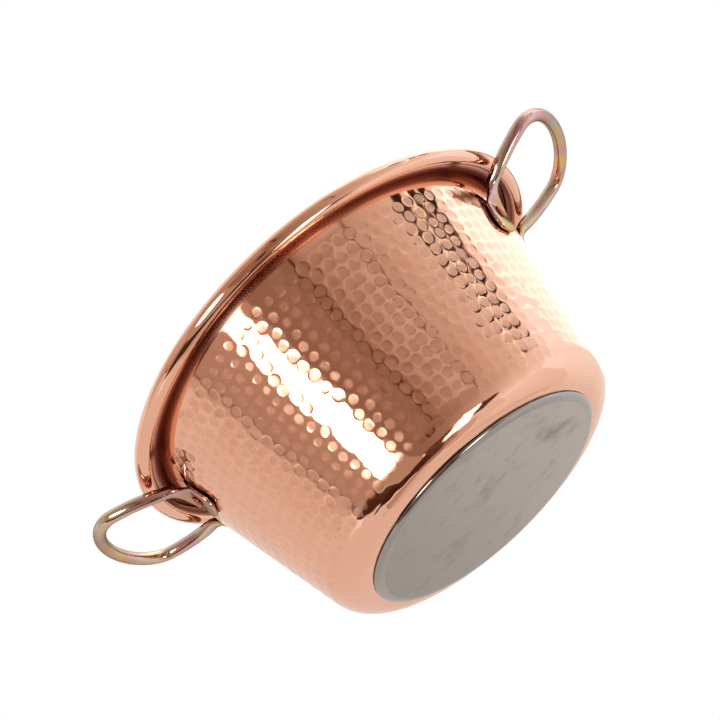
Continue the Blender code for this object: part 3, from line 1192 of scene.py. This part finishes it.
@dataclass(frozen=True)
class Effects:
    """The node groups that several finishes share."""

    hairlines: bpy.types.NodeTree
    stains: bpy.types.NodeTree

    @classmethod
    def build(cls) -> "Effects":
        """Make each group once."""
        return cls(Hairlines().group(), Stains().group())


class Metal(Graph):
    """A metal's material in the making, over the piece's Object coordinates."""

    def __init__(self, name: str, effects: Effects) -> None:
        """Start the material with a shader that is metal throughout.

        Args:
            name: the material's name.
            effects: the shared node groups.
        """
        self.material = bpy.data.materials.new(name)
        self.material.use_nodes = True
        super().__init__(self.material.node_tree)
        self.effects = effects
        self.shader = self.tree.nodes["Principled BSDF"]
        self.shader.inputs["Metallic"].default_value = 1.0
        self.place = self.add("TexCoord").outputs["Object"]

    def axes(self) -> list[Socket]:
        """The three coordinates of the place."""
        return list(self.add("SeparateXYZ", {0: self.place}).outputs)

    def from_axis(self, axes: list[Socket]) -> Socket:
        """Distance from Z: the root of x squared plus y squared."""
        squares = [self.math("MULTIPLY", axis, axis) for axis in axes[:2]]
        return self.math("SQRT", self.math("ADD", *squares))

    def stains(self, fineness: float, start: float = 0.45, end: float = 0.75) -> Socket:
        """Mask of the stains, which set in between two levels of their noise."""
        group = self.add("Group", {"Vector": self.place, "Fineness": fineness,
                                   "Start": start, "End": end},
                         node_tree=self.effects.stains)
        return group.outputs["Mask"]

    def hairlines(self, fineness: float) -> Socket:
        """Height of the polishing hairlines."""
        group = self.add("Group", {"Vector": self.place, "Fineness": fineness},
                         node_tree=self.effects.hairlines)
        return group.outputs["Height"]

    def finish(self, colour: Socket, roughness: Socket, height: Socket, strength: float,
               depth: float) -> bpy.types.Material:
        """Join the finish to the shader.

        Args:
            colour: the metal's colour.
            roughness: its roughness.
            height: its fine relief.
            strength: how strongly the relief shows.
            depth: how deep the relief is.

        Returns:
            The finished material.
        """
        bump = self.add("Bump", {"Strength": strength, "Distance": depth,
                                 "Height": height})
        self.give(self.shader.inputs["Base Color"], colour)
        self.give(self.shader.inputs["Roughness"], roughness)
        self.give(self.shader.inputs["Normal"], bump.outputs[0])
        return self.material


# Finishes


@dataclass(frozen=True)
class PolishedCopper:
    """Bare copper, mirror-polished outside, with painted shade darkening the channel."""

    effects: Effects
    pot: CopperPot
    name: str = "polished_copper"
    bright: Colour = (0.87, 0.48, 0.33)
    warm: Colour = (0.80, 0.40, 0.25)
    # Painted shade: the dark brown that the channel's colour is drawn towards
    channel_shade: Colour = (0.38, 0.18, 0.13)
    roughness: float = 0.06
    stained_factor: float = 1.8
    satin: float = 0.17
    dulled: float = 0.18
    stain_fineness: float = 22.0
    stain_share: float = 0.35
    satin_share: float = 0.24
    channel_shade_share: float = 0.85
    channel_foot: float = 118.4 * MM
    channel_depth: float = 120.8 * MM
    channel_lip: tuple[float, float] = (126.8 * MM, 127.4 * MM)
    channel_level: float = 122.5 * MM
    channel_middle: float = 118.8 * MM
    channel_reach: float = 4.9 * MM
    full_share: float = 0.775
    line_fineness: float = 700.0
    line_share: float = 0.12
    pit_fineness: float = 420.0
    bump_strength: float = 0.10
    bump_depth: float = 0.02 * MM

    def channel_shade_mask(self, metal: Metal) -> Socket:
        """Where shade is painted into the colour, between the wall and the bead.

        The mask lies between two heights, and within a reach of a line that leans out
        with the wall from the channel's middle.

        Args:
            metal: the material in the making.

        Returns:
            The mask.
        """
        axes = metal.axes()
        above = metal.math("SUBTRACT", axes[2], self.channel_level)
        leaning = metal.math("SUBTRACT", metal.from_axis(axes),
                             metal.math("MULTIPLY", above, math.tan(self.pot.taper)))
        aside = metal.math("ABSOLUTE",
                           metal.math("SUBTRACT", leaning, self.channel_middle))
        near = metal.ramp(aside, self.channel_reach * self.full_share, self.channel_reach,
                          1.0, 0.0)
        high = metal.ramp(axes[2], self.channel_foot, self.channel_depth)
        under = metal.ramp(axes[2], *self.channel_lip, 1.0, 0.0)
        return metal.math("MULTIPLY", metal.math("MULTIPLY", near, high), under)

    def material(self) -> bpy.types.Material:
        """Build the material.

        Returns:
            The finished material.
        """
        metal = Metal(self.name, self.effects)
        stain = metal.stains(self.stain_fineness)
        channel_shade = self.channel_shade_mask(metal)
        face = metal.add("Attribute", attribute_name="satin").outputs["Fac"]
        colour = metal.mix(metal.math("MULTIPLY", stain, self.stain_share), self.bright,
                           self.warm)
        colour = metal.mix(metal.math("MULTIPLY", face, self.satin_share), colour,
                           self.warm)
        # Painted shade: the channel between wall and bead is darkened in colour
        colour = metal.mix(metal.math("MULTIPLY", channel_shade, self.channel_shade_share), colour,
                           self.channel_shade)
        rough = metal.ramp(stain, 0.0, 1.0, self.roughness,
                           self.roughness * self.stained_factor)
        rough = metal.math("ADD", rough, metal.math("MULTIPLY", face, self.satin))
        rough = metal.math("ADD", rough, metal.math("MULTIPLY", channel_shade, self.dulled))
        lines = metal.math("MULTIPLY", metal.hairlines(self.line_fineness), self.line_share)
        pits = metal.noise(metal.place, self.pit_fineness, detail=2.0)
        return metal.finish(colour, rough, metal.math("ADD", lines, pits),
                            self.bump_strength, self.bump_depth)


@dataclass(frozen=True)
class PressedSteel:
    """The base's steel: a satin face, stained by use, inside a polished shoulder."""

    effects: Effects
    name: str = "brushed_steel"
    face: Colour = (0.47, 0.43, 0.385)
    # Painted shade: the colour of the face's darker side
    painted_shade: Colour = (0.34, 0.305, 0.27)
    stained: Colour = (0.21, 0.19, 0.17)
    shoulder: Colour = (0.35, 0.32, 0.285)
    face_radius: float = 67.2 * MM
    shoulder_start: float = 68.6 * MM
    shade_side: float = -40.0 * MM
    lit_side: float = 95.0 * MM
    cloud_fineness: float = 16.0
    cloud_reach: float = 60.0 * MM
    smudge_fineness: float = 58.0
    smudge_turn: float = 0.9
    smudge_stretch: float = 1.7
    smudge_levels: tuple[float, float] = (0.50, 0.74)
    smudge_share: float = 0.45
    stain_fineness: float = 30.0
    stain_levels: tuple[float, float] = (0.50, 0.80)
    stain_share: float = 0.85
    satin: tuple[float, float] = (0.38, 0.46)
    polish: float = 0.10
    line_fineness: float = 1400.0
    grain_fineness: float = 1600.0
    bump_strength: float = 0.12
    bump_depth: float = 0.02 * MM

    def face_colour(self, metal: Metal, axes: list[Socket], stain: Socket) -> Socket:
        """Colour of the satin face: painted shade darker to one side, smudged and stained.

        Args:
            metal: the material in the making.
            axes: the coordinates of the place.
            stain: the mask of the stains.

        Returns:
            The colour.
        """
        # Painted shade: the face darkens towards -X, along an edge that noise makes uneven
        cloud = metal.noise(metal.place, self.cloud_fineness, detail=4.0)
        across = metal.math("ADD", axes[0],
                            metal.math("MULTIPLY", cloud, self.cloud_reach))
        colour = metal.mix(metal.ramp(across, self.shade_side, self.lit_side),
                           self.painted_shade, self.face)
        streaky = metal.add("Mapping", {"Vector": metal.place,
                                        "Rotation": (0.0, 0.0, self.smudge_turn),
                                        "Scale": (1.0, self.smudge_stretch, 1.0)})
        smudge = metal.noise(streaky.outputs[0], self.smudge_fineness, detail=7.0,
                             roughness=0.7)
        smudge = metal.ramp(smudge, *self.smudge_levels)
        colour = metal.mix(metal.math("MULTIPLY", smudge, self.smudge_share), colour,
                           self.stained)
        return metal.mix(metal.math("MULTIPLY", stain, self.stain_share), colour,
                         self.stained)

    def material(self) -> bpy.types.Material:
        """Build the material.

        Returns:
            The finished material.
        """
        metal = Metal(self.name, self.effects)
        axes = metal.axes()
        polished = metal.ramp(metal.from_axis(axes), self.face_radius, self.shoulder_start)
        stain = metal.stains(self.stain_fineness, *self.stain_levels)
        colour = metal.mix(polished, self.face_colour(metal, axes, stain), self.shoulder)
        satin = metal.ramp(stain, 0.0, 1.0, *self.satin)
        rough = metal.add("Mix", {0: polished, 2: satin, 3: self.polish},
                          data_type="FLOAT")
        grain = metal.noise(metal.place, self.grain_fineness, detail=2.0)
        height = metal.math("ADD", metal.hairlines(self.line_fineness), grain)
        return metal.finish(colour, rough.outputs[0], height, self.bump_strength,
                            self.bump_depth)


@dataclass(frozen=True)
class YellowZinc:
    """Zinc plating with a yellow passivation: grey legs, and straw and pink clouds."""

    effects: Effects
    name: str
    grey: Colour = (0.56, 0.48, 0.43)
    straw: Colour = (0.72, 0.49, 0.22)
    pink: Colour = (0.62, 0.36, 0.33)
    grazing: Colour = (0.45, 0.42, 0.38)
    straw_fineness: float = 38.0
    straw_levels: tuple[float, float] = (0.36, 0.56)
    pink_fineness: float = 45.0
    pink_levels: tuple[float, float] = (0.46, 0.62)
    pink_shift: tuple[float, float, float] = (0.3, 0.1, 0.7)
    pink_share: float = 0.8
    tab_reach: float = 114.0 * MM
    tab_fade: float = 4.0 * MM
    tab_share: float = 0.9
    leg_reach: float = 138.0 * MM
    leg_share: float = 0.3
    loop_reach: float = 158.0 * MM
    stain_fineness: float = 90.0
    roughness: tuple[float, float] = (0.10, 0.20)
    line_fineness: float = 1100.0
    bump_strength: float = 0.12
    bump_depth: float = 0.03 * MM

    def straw_share(self, metal: Metal) -> Socket:
        """How yellow the plating may be: full on the loop and the tabs, less on the legs.

        Args:
            metal: the material in the making.

        Returns:
            The share, by the distance from the middle of the pot along X.
        """
        out = metal.math("ABSOLUTE", metal.axes()[0])
        loop = metal.ramp(out, self.leg_reach, self.loop_reach, self.leg_share, 1.0)
        tabs = metal.ramp(out, self.tab_reach, self.tab_reach + self.tab_fade,
                          self.tab_share, 0.0)
        return metal.math("MAXIMUM", loop, tabs)

    def material(self) -> bpy.types.Material:
        """Build the material.

        Returns:
            The finished material.
        """
        metal = Metal(self.name, self.effects)
        straw = metal.ramp(metal.noise(metal.place, self.straw_fineness),
                           *self.straw_levels)
        shifted = metal.add("Mapping", {"Vector": metal.place, "Location": self.pink_shift})
        pink = metal.ramp(metal.noise(shifted.outputs[0], self.pink_fineness),
                          *self.pink_levels)
        colour = metal.mix(metal.math("MULTIPLY", straw, self.straw_share(metal)),
                           self.grey, self.straw)
        colour = metal.mix(metal.math("MULTIPLY", pink, self.pink_share), colour, self.pink)
        metal.shader.inputs["Specular Tint"].default_value = (*self.grazing, 1.0)
        rough = metal.ramp(metal.stains(self.stain_fineness), 0.0, 1.0, *self.roughness)
        return metal.finish(colour, rough, metal.hairlines(self.line_fineness),
                            self.bump_strength, self.bump_depth)


class Tone(Enum):
    """Clean colour, dull colour and roughness of a plain metal."""

    RIVET_COPPER = ((0.48, 0.15, 0.07), (0.32, 0.09, 0.04), 0.24)
    WIRE_STEEL = ((0.45, 0.45, 0.46), (0.33, 0.33, 0.33), 0.4)
    ALUMINIUM = ((0.80, 0.80, 0.80), (0.66, 0.66, 0.66), 0.35)


@dataclass(frozen=True)
class PlainMetal:
    """A plain metal with a slight unevenness: rivets, and the pieces closed from view."""

    effects: Effects
    name: str
    tone: Tone
    dull_roughening: float = 0.12
    stain_fineness: float = 160.0
    dent_fineness: float = 700.0
    bump_strength: float = 0.25
    bump_depth: float = 0.06 * MM

    def material(self) -> bpy.types.Material:
        """Build the material.

        Returns:
            The finished material.
        """
        clean, dull, roughness = self.tone.value
        metal = Metal(self.name, self.effects)
        stain = metal.stains(self.stain_fineness)
        rough = metal.ramp(stain, 0.0, 1.0, roughness, roughness + self.dull_roughening)
        dents = metal.noise(metal.place, self.dent_fineness, detail=2.0)
        return metal.finish(metal.mix(stain, clean, dull), rough, dents,
                            self.bump_strength, self.bump_depth)


# Studio


def direction(azimuth: np.ndarray | float, elevation: np.ndarray | float) -> np.ndarray:
    """Direction at an azimuth from +X and an elevation, both in radians."""
    return np.stack([np.cos(azimuth) * np.cos(elevation),
                     np.sin(azimuth) * np.cos(elevation), np.sin(elevation)], axis=-1)


@dataclass(frozen=True)
class Screen:
    """A patch of a screen round the pot, seen only in reflections.

    Its azimuths and elevations are in degrees.
    """

    name: str
    azimuths: tuple[float, float]
    elevations: tuple[float, float]
    levels: tuple[float, float]
    distance: float = 6.0
    rise: float = 1.0
    fade: float = 0.0
    is_round: bool = False
    warmth: Colour = (0.70, 0.95, 1.10)
    glare: Colour = (0.70, 1.00, 1.50)
    steps: int = 24

    def build(self) -> None:
        """Build the patch of a sphere, its light going from one level to the other.

        The level goes with a power of the share of the way across. Darker screens are
        warmer, as red, green and blue are the level raised to powers of their own, and
        levels above one have powers that bleach them. The edges fade out over a share of
        half the screen's size.
        """
        columns = self.steps + 1
        share, lift = np.meshgrid(np.linspace(0, 1, columns), np.linspace(0, 1, columns))
        across = np.radians(self.azimuths[0] + share * np.ptp(self.azimuths))
        up = np.radians(self.elevations[0] + lift * np.ptp(self.elevations))
        points = self.distance * direction(across, up)
        corner = (np.arange(self.steps)[:, None] * columns + np.arange(self.steps)).ravel()
        faces = np.stack([corner, corner + columns, corner + columns + 1, corner + 1],
                         axis=-1)
        mesh = bpy.data.meshes.new(self.name)
        mesh.from_pydata(points.reshape(-1, 3).tolist(), [], faces.tolist())
        level = self.levels[0] + (self.levels[1] - self.levels[0]) * share**self.rise
        level = level.reshape(-1, 1)
        shine = np.ones((len(level), 4))
        shine[:, :3] = level ** np.where(level > 1, self.glare, self.warmth)
        layer = mesh.attributes.new("shine", "FLOAT_COLOR", "POINT")
        layer.data.foreach_set("color", shine.ravel())
        aside, above = np.abs(2 * share - 1), np.abs(2 * lift - 1)
        outward = np.hypot(aside, above) if self.is_round else np.maximum(aside, above)
        cover = eased(1 - outward, self.fade) if self.fade else np.ones_like(outward)
        layer = mesh.attributes.new("cover", "FLOAT", "POINT")
        layer.data.foreach_set("value", cover.ravel())
        mesh.materials.append(screen_glow())
        screen = put_in_scene(self.name, mesh)
        screen.visible_camera = False
        screen.visible_diffuse = False
        screen.visible_shadow = False
        screen.visible_transmission = False


def screen_glow() -> bpy.types.Material:
    """The screens' material: light of the mesh's own colour, clear where it fades.

    Returns:
        The one material, made at the first call.
    """
    name = "screen_glow"
    if name in bpy.data.materials:
        return bpy.data.materials[name]
    material = bpy.data.materials.new(name)
    material.use_nodes = True
    material.node_tree.nodes.clear()
    graph = Graph(material.node_tree)
    shine = graph.add("Attribute", attribute_name="shine")
    cover = graph.add("Attribute", attribute_name="cover")
    emission = graph.add("Emission", {"Color": shine.outputs["Color"]})
    mixed = graph.add("MixShader", {0: cover.outputs["Fac"],
                                    1: graph.add("BsdfTransparent").outputs[0],
                                    2: emission.outputs[0]})
    graph.add("OutputMaterial", {"Surface": mixed.outputs[0]})
    return material


@dataclass(frozen=True)
class SoftBox:
    """A soft lamp that faces the pot, with its angles in degrees."""

    name: str
    azimuth: float
    elevation: float
    width: float
    tall: float
    level: float
    distance: float = 4.5
    is_round: bool = False

    def build(self) -> None:
        """Build the lamp: its power gives the level of light over its face."""
        lamp = bpy.data.lights.new(self.name, "AREA")
        lamp.shape = "ELLIPSE" if self.is_round else "RECTANGLE"
        lamp.size = 2 * self.distance * math.tan(math.radians(self.width / 2))
        lamp.size_y = 2 * self.distance * math.tan(math.radians(self.tall / 2))
        share = math.pi if self.is_round else 4
        lamp.energy = share * lamp.size * lamp.size_y * self.level
        box = put_in_scene(self.name, lamp)
        away = direction(math.radians(self.azimuth), math.radians(self.elevation))
        box.location = away * self.distance
        box.rotation_euler = Vector(-away).to_track_quat("-Z", "Y").to_euler()
        box.visible_camera = False


@dataclass(frozen=True)
class Studio:
    """Floor, room light, lamps, screens and the camera."""

    camera_place: tuple[float, float, float] = (2.8232 * MM, -981.47 * MM, -350.504 * MM)
    camera_turn: tuple[float, float, float] = (122.843, 38.829, 22.035)
    lens: float = 102.4056
    sensor_width: float = 36.0
    floor_radius: float = 3.0
    floor_height: float = 0.3 * MM
    floor_sides: int = 96
    floor_white: float = 0.9
    floor_roughness: float = 0.8
    floor_gloss: float = 0.1

    def build_camera(self) -> None:
        """Put up the camera at the photograph's viewing angle."""
        lens = bpy.data.cameras.new("camera")
        lens.lens = self.lens
        lens.sensor_width = self.sensor_width
        camera = put_in_scene("camera", lens)
        camera.location = self.camera_place
        camera.rotation_euler = [math.radians(angle) for angle in self.camera_turn]
        bpy.context.scene.camera = camera

    def floor_finish(self) -> bpy.types.Material:
        """White of the floor, clear from below, as the camera looks up through it.

        Returns:
            The finished material.
        """
        material = bpy.data.materials.new("white_floor")
        material.use_nodes = True
        graph = Graph(material.node_tree)
        shader = graph.tree.nodes["Principled BSDF"]
        shader.inputs["Base Color"].default_value = (*[self.floor_white] * 3, 1.0)
        shader.inputs["Roughness"].default_value = self.floor_roughness
        shader.inputs["Specular IOR Level"].default_value = self.floor_gloss
        below = graph.add("NewGeometry").outputs["Backfacing"]
        mixed = graph.add("MixShader", {0: below, 1: shader.outputs[0],
                                        2: graph.add("BsdfTransparent").outputs[0]})
        graph.give(graph.tree.nodes["Material Output"].inputs["Surface"], mixed.outputs[0])
        return material

    def build_floor(self) -> None:
        """Lay a round white floor: radius times cosine and sine of the angle."""
        angle = np.linspace(0, math.tau, self.floor_sides, endpoint=False)
        points = np.stack([self.floor_radius * np.cos(angle),
                           self.floor_radius * np.sin(angle),
                           np.full_like(angle, self.floor_height)], axis=-1)
        mesh = bpy.data.meshes.new("floor")
        mesh.from_pydata(points.tolist(), [], [list(range(self.floor_sides))])
        mesh.materials.append(self.floor_finish())
        floor = put_in_scene("floor", mesh)
        floor.visible_glossy = False

    def build_room(self) -> None:
        """Light the room evenly white."""
        world = bpy.data.worlds.new("white_room")
        world.use_nodes = True
        background = world.node_tree.nodes["Background"]
        background.inputs["Color"].default_value = (1.0, 1.0, 1.0, 1.0)
        background.inputs["Strength"].default_value = 1.0
        bpy.context.scene.world = world

    def lamps(self) -> list[SoftBox]:
        """The key lamps in front of the pot, one below it and two behind it.

        Returns:
            Lamps by name, azimuth, elevation, width, height, level and distance.
        """
        return [
            SoftBox("key_lamp", -116.6, 0.5, 15.4, 18.0, 2.4, 0.62),
            SoftBox("key_lamp_round", -116.6, 0.5, 16.4, 33.0, 3.0, 0.64, is_round=True),
            SoftBox("low_lamp", -46.0, -65.0, 13.0, 24.0, 3.2),
            SoftBox("back_lamp", 42.0, 42.0, 72.0, 62.0, 0.5),
            SoftBox("back_lamp_core", 38.0, 45.0, 30.0, 24.0, 0.6),
        ]

    def walls(self) -> list[Screen]:
        """The walls and curtains round the pot, which its wall shows.

        Returns:
            Screens by name, azimuths, elevations, levels and distance.
        """
        return [
            Screen("back_wall", (85, 180), (-62, 22), (0.80, 0.80)),
            Screen("back_wall_left", (-180, -160), (-62, 25), (0.84, 0.80)),
            Screen("right_wall", (12, 85), (-32, 32), (1.42, 0.85)),
            Screen("right_wall_low", (0, 72), (-62, -32), (1.1, 0.9)),
            Screen("right_wall_side", (72, 85), (-62, -32), (0.76, 0.76)),
            Screen("front_wall", (-107, 12), (-62, 9), (0.20, 1.2), rise=1.9),
            Screen("front_wall_high", (-112, -15), (9, 62), (0.40, 1.1), rise=4.5),
            Screen("front_dim", (-87, -73), (-40, 40), (0.19, 0.19), 5.9, fade=0.5),
            Screen("front_shade", (-80, -46), (-34, 30), (0.21, 0.42), 5.3, fade=0.3),
            Screen("front_glow", (-78, -46), (-3.6, 5.6), (0.33, 0.66), 5.1, fade=0.4),
            Screen("left_wall", (-136, -107), (-68, 62), (0.40, 0.38)),
            Screen("left_wall_high", (-180, -136), (0, 62), (0.52, 0.60)),
            Screen("curtain", (-161, -136), (-54, -14), (0.02, 0.04), 5.6, fade=0.2),
            Screen("curtain_high", (-153.5, -135), (-18, 12), (0.36, 0.37), 5.62),
            Screen("curtain_low", (-171, -136), (-74, -50), (0.01, 0.03), 5.6, fade=0.1),
            Screen("left_glint", (-172, -160), (-34, -21), (1.15, 1.15), 5.6),
        ]

    def ground(self) -> list[Screen]:
        """The ground below and round the pot, which its foot and its cap show.

        Returns:
            Screens by name, azimuths, elevations, levels and distance.
        """
        return [
            Screen("ground", (-180, -38), (-90, -80), (0.04, 0.05), 5.8),
            Screen("ground_far", (-38, 180), (-90, -80), (0.30, 0.30), 5.8),
            Screen("ground_left", (-172, -100), (-82, -68), (0.02, 0.03), 5.7),
            Screen("ground_front", (-100, -62), (-82, -62), (0.06, 0.07), 5.7),
            Screen("ground_right", (-30, 80), (-72, -62), (0.85, 0.85), 5.7),
            Screen("ground_right_low", (-10, 80), (-82, -72), (0.60, 0.60), 5.7),
            Screen("ground_back", (80, 140), (-80, -62), (0.9, 0.6), 5.7),
            Screen("ground_back_left", (140, 180), (-80, -62), (0.45, 0.35), 5.7),
        ]

    def edges(self) -> list[Screen]:
        """What stands before the walls: dark edges, a bright slit and doorways.

        Returns:
            Screens by name, azimuths, elevations, levels and distance.
        """
        return [
            Screen("edge_left", (-153.8, -152.6), (-10, 30), (0.10, 0.10), 5.2),
            Screen("edge_middle", (-79.6, -78.1), (-8, 62), (0.03, 0.03), 5.2),
            Screen("edge_low", (-92, -83), (-42, -16), (0.02, 0.02), 5.2, fade=0.45,
                   is_round=True),
            Screen("edge_right", (-48.4, -46.9), (-10, 40), (0.05, 0.05), 5.2),
            Screen("slit", (-8.6, -7.2), (-20, 40), (2.2, 2.2), 5.0,
                   glare=(0.7, 0.8, 0.6)),
            Screen("over_doors", (-26, 12), (16, 34), (1.7, 1.8), 5.4, fade=0.3),
            Screen("door", (-17.5, -11.5), (6.2, 16), (0.01, 0.01), 5.2),
            Screen("door_middle", (-7.2, -2.4), (5.8, 15), (0.01, 0.01), 5.2),
            Screen("door_right", (-0.5, 4.6), (6.3, 17), (0.01, 0.01), 5.2),
            Screen("low_patch", (-36, -14), (-68, -50), (0.03, 0.05), 5.2, fade=0.3),
        ]

    def build(self) -> None:
        """Build the whole studio."""
        self.build_camera()
        self.build_floor()
        self.build_room()
        for light in self.lamps() + self.walls() + self.ground() + self.edges():
            light.build()
        bpy.context.scene.view_settings.view_transform = "Standard"


# Everything in order


def dress_node(name: str, material: bpy.types.Material) -> None:
    """Give a CAD node that is closed from view its finish.

    Args:
        name: the node's name.
        material: its finish.
    """
    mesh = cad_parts[name].data
    mesh.materials.clear()
    mesh.materials.append(material)
    log.info("%s: kept from the CAD model", name)


def main() -> None:
    """Build the studio and the pot's pieces."""
    Studio().build()
    effects = Effects.build()
    pot = CopperPot()
    pot.build(PolishedCopper(effects, pot).material())
    InductionBase().build(PressedSteel(effects).material())
    for side in Side:
        handle = LoopHandle(side, pot)
        handle.build(YellowZinc(effects, f"zinc_plated_steel_{side.name.lower()}").material())
        for end in End:
            rivet = Rivet(handle, end)
            copper = PlainMetal(effects, f"rivet_copper_{rivet.label}", Tone.RIVET_COPPER)
            rivet.build(copper.material())
    dress_node("rim_wire", PlainMetal(effects, "wire_steel", Tone.WIRE_STEEL).material())
    core = PlainMetal(effects, "plain_aluminium", Tone.ALUMINIUM)
    dress_node("base_core", core.material())


if __name__ == "__main__":
    logging.basicConfig(level=logging.INFO, format="%(message)s")
    main()
